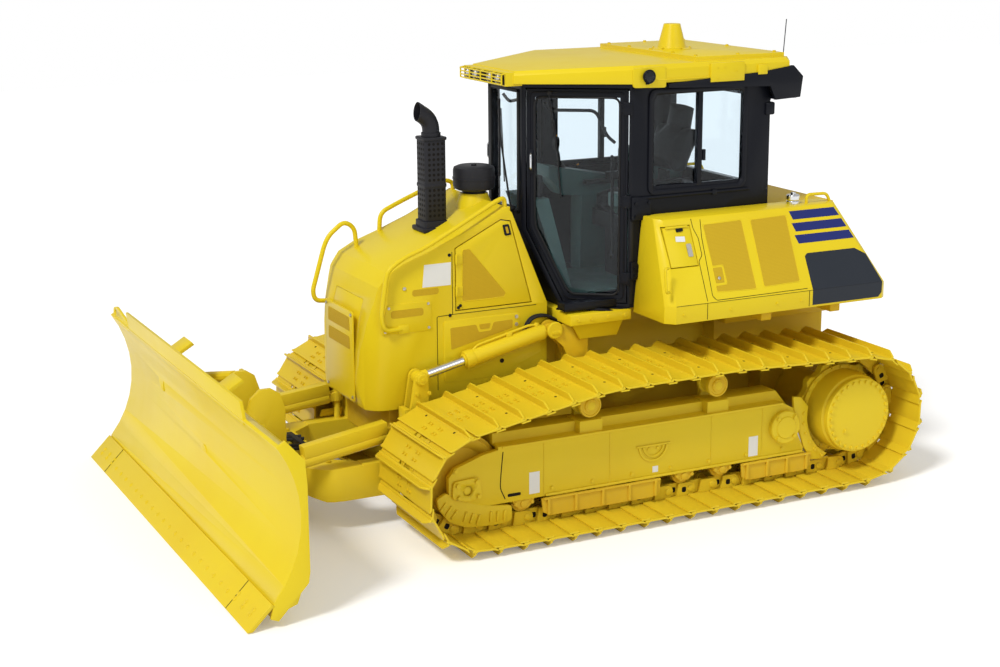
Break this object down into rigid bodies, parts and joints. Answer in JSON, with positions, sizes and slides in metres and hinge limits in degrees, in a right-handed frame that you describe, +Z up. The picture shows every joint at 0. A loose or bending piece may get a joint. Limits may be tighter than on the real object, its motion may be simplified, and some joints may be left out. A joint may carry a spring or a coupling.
{
  "type": "bulldozer",
  "caption": "Crawler bulldozer with a lifting, angling and tilting blade, wide grouser tracks, sloping hood and faceted cab; doors, hatch, grille and fan move.",
  "frame": {"origin": "on the ground under the middle of the bounding box", "axes": "-Y towards the blade, +X to the machine's left, +Z up"},
  "size_m": [3.86, 5.4621, 3.345],
  "materials": {
    "yellow": "clean yellow paint, half gloss",
    "shaded_yellow": "yellow paint, half gloss, dusty",
    "track_paint": "yellow paint over cast steel, lightly dusty",
    "black_paint": "blue-black paint, half gloss",
    "tinted_glass": "tinted, clear",
    "seat_plastic": "matt",
    "seat_cover": "matt seat vinyl",
    "console_plastic": "matt teal grey",
    "rod_chrome": "polished"
  },
  "bodies": {
    "chassis": {"track_frame_left": "yellow", "track_frame_right": "yellow", "final_drive_left": "yellow", "final_drive_right": "yellow", "hood": "yellow", "front_grille_panel": "yellow", "hood_rail_left": "yellow", "hood_rail_right": "yellow", "front_grab_rail": "yellow", "cab_roof": "yellow", "cab_deck": "yellow", "side_box_left": "yellow", "side_box_right": "yellow", "idler_left": "shaded_yellow", "idler_right": "shaded_yellow", "bottom_rollers_left": "shaded_yellow", "bottom_rollers_right": "shaded_yellow", "main_frame": "shaded_yellow", "equalizer_bar": "shaded_yellow", "pivot_shaft": "shaded_yellow", "drawbar": "shaded_yellow", "engine_block": "shaded_yellow", "radiator_housing": "shaded_yellow", "track_left": "track_paint", "track_right": "track_paint", "exhaust_stack": "black_paint", "air_precleaner": "black_paint", "cab_frame": "black_paint", "rear_roof_box": "black_paint", "windshield": "tinted_glass", "side_window_left": "tinted_glass", "side_window_right": "tinted_glass", "rear_window": "tinted_glass", "seat_base": "seat_plastic", "seat_cushion": "seat_cover", "seat_backrest": "seat_cover", "cab_console": "console_plastic"},
    "hood_door_left": {"hood_door_left": "yellow"},
    "hood_door_right": {"hood_door_right": "yellow"},
    "cab_door_left": {"cab_door_left": "black_paint", "door_glass_left": "tinted_glass"},
    "cab_door_right": {"cab_door_right": "black_paint", "door_glass_right": "tinted_glass"},
    "side_hatch": {"side_hatch_left": "yellow"},
    "grille_door": {"rear_grille": "yellow"},
    "fan": {"cooling_fan": "black_paint"},
    "lift_frame": {"c_frame": "yellow"},
    "swivel": {"blade_swivel": "yellow"},
    "blade": {"blade": "yellow", "cutting_edge": "track_paint"},
    "lift_barrel_left": {"lift_barrel_left": "yellow"},
    "lift_barrel_right": {"lift_barrel_right": "yellow"},
    "lift_rod_left": {"lift_rod_left": "rod_chrome"},
    "lift_rod_right": {"lift_rod_right": "rod_chrome"},
    "angle_barrel_left": {"angle_barrel_left": "yellow"},
    "angle_barrel_right": {"angle_barrel_right": "yellow"},
    "angle_rod_left": {"angle_rod_left": "rod_chrome"},
    "angle_rod_right": {"angle_rod_right": "rod_chrome"},
    "tilt_barrel": {"tilt_barrel": "yellow"},
    "tilt_rod": {"tilt_rod": "rod_chrome"}
  },
  "joints": [
    {"name": "blade_lift", "type": "hinge", "parent": "chassis", "child": "lift_frame", "pos_m": [0, 0.15, 0.45], "axis": [-1, 0, 0], "range_deg": [-11.7, 19.7]},
    {"name": "blade_angle", "type": "hinge", "parent": "lift_frame", "child": "swivel", "pos_m": [0, -1.95, 0.345], "axis": [0, 0, 1], "range_deg": [-25, 25]},
    {"name": "blade_tilt", "type": "hinge", "parent": "swivel", "child": "blade", "pos_m": [0, -1.95, 0.53], "axis": [0, 1, 0], "range_deg": [-6.4, 6.4]},
    {"name": "cab_door_left_swing", "type": "hinge", "parent": "chassis", "child": "cab_door_left", "pos_m": [0.7239, 0.5999, 2.2], "axis": [0, 0, 1], "range_deg": [0, 105]},
    {"name": "cab_door_right_swing", "type": "hinge", "parent": "chassis", "child": "cab_door_right", "pos_m": [-0.7239, 0.5999, 2.2], "axis": [0, 0, -1], "range_deg": [0, 105]},
    {"name": "hood_door_left_swing", "type": "hinge", "parent": "chassis", "child": "hood_door_left", "pos_m": [0.479, -0.65, 1.75], "axis": [0, 0, -1], "range_deg": [0, 100]},
    {"name": "hood_door_right_swing", "type": "hinge", "parent": "chassis", "child": "hood_door_right", "pos_m": [-0.479, -0.65, 1.75], "axis": [0, 0, 1], "range_deg": [0, 100]},
    {"name": "side_hatch_swing", "type": "hinge", "parent": "chassis", "child": "side_hatch", "pos_m": [0.9608, 0.84, 2], "axis": [0, -1, 0], "range_deg": [0, 80]},
    {"name": "grille_door_swing", "type": "hinge", "parent": "chassis", "child": "grille_door", "pos_m": [0, 2.43, 1.983], "axis": [1, 0, 0], "range_deg": [0, 85]},
    {"name": "fan_spin", "type": "hinge", "parent": "grille_door", "child": "fan", "pos_m": [0, 2.19, 1.61], "axis": [0, 1, 0], "continuous": true},
    {"name": "lift_barrel_left_swing", "type": "hinge", "parent": "chassis", "child": "lift_barrel_left", "pos_m": [0.545, 0.06, 1.265], "axis": [-1, 0, 0], "range_deg": [-11.45, 19.21]},
    {"name": "lift_rod_left_stroke", "type": "slide", "parent": "lift_barrel_left", "child": "lift_rod_left", "axis": [0, -0.9766, -0.215], "range_m": [-0.2756, 0.1639]},
    {"name": "angle_barrel_left_swing", "type": "hinge", "parent": "lift_frame", "child": "angle_barrel_left", "pos_m": [0.548, -1.175, 0.656], "axis": [0.2833, 0.0194, 0.9588], "range_deg": [-8.1, 8.1]},
    {"name": "angle_rod_left_stroke", "type": "slide", "parent": "angle_barrel_left", "child": "angle_rod_left", "axis": [0.0678, -0.9894, -0.1282], "range_m": [-0.2601, 0.2601]},
    {"name": "lift_barrel_right_swing", "type": "hinge", "parent": "chassis", "child": "lift_barrel_right", "pos_m": [-0.545, 0.06, 1.265], "axis": [-1, 0, 0], "range_deg": [-11.45, 19.21]},
    {"name": "lift_rod_right_stroke", "type": "slide", "parent": "lift_barrel_right", "child": "lift_rod_right", "axis": [0, -0.9766, -0.215], "range_m": [-0.2756, 0.1639]},
    {"name": "angle_barrel_right_swing", "type": "hinge", "parent": "lift_frame", "child": "angle_barrel_right", "pos_m": [-0.548, -1.175, 0.656], "axis": [-0.2833, 0.0194, 0.9588], "range_deg": [-8.1, 8.1]},
    {"name": "angle_rod_right_stroke", "type": "slide", "parent": "angle_barrel_right", "child": "angle_rod_right", "axis": [-0.0678, -0.9894, -0.1282], "range_m": [-0.2601, 0.2601]},
    {"name": "tilt_barrel_swing", "type": "hinge", "parent": "swivel", "child": "tilt_barrel", "pos_m": [-0.4, -1.99, 0.94], "axis": [0, 1, 0], "range_deg": [-9.32, 9.32]},
    {"name": "tilt_rod_stroke", "type": "slide", "parent": "tilt_barrel", "child": "tilt_rod", "axis": [-0.9305, -0.3002, -0.2101], "range_m": [-0.053, 0.053]}
  ],
  "couplings": [
    {"joint": "lift_barrel_left_swing", "follows": "blade_lift", "ratio": 0.97},
    {"joint": "lift_rod_left_stroke", "follows": "blade_lift", "m_per_rad": -0.8},
    {"joint": "angle_barrel_left_swing", "follows": "blade_angle", "ratio": 0.32},
    {"joint": "angle_rod_left_stroke", "follows": "blade_angle", "m_per_rad": -0.595},
    {"joint": "lift_barrel_right_swing", "follows": "blade_lift", "ratio": 0.97},
    {"joint": "lift_rod_right_stroke", "follows": "blade_lift", "m_per_rad": -0.8},
    {"joint": "angle_barrel_right_swing", "follows": "blade_angle", "ratio": 0.32},
    {"joint": "angle_rod_right_stroke", "follows": "blade_angle", "m_per_rad": 0.595},
    {"joint": "tilt_barrel_swing", "follows": "blade_tilt", "ratio": 1.44},
    {"joint": "tilt_rod_stroke", "follows": "blade_tilt", "m_per_rad": -0.47}
  ]
}
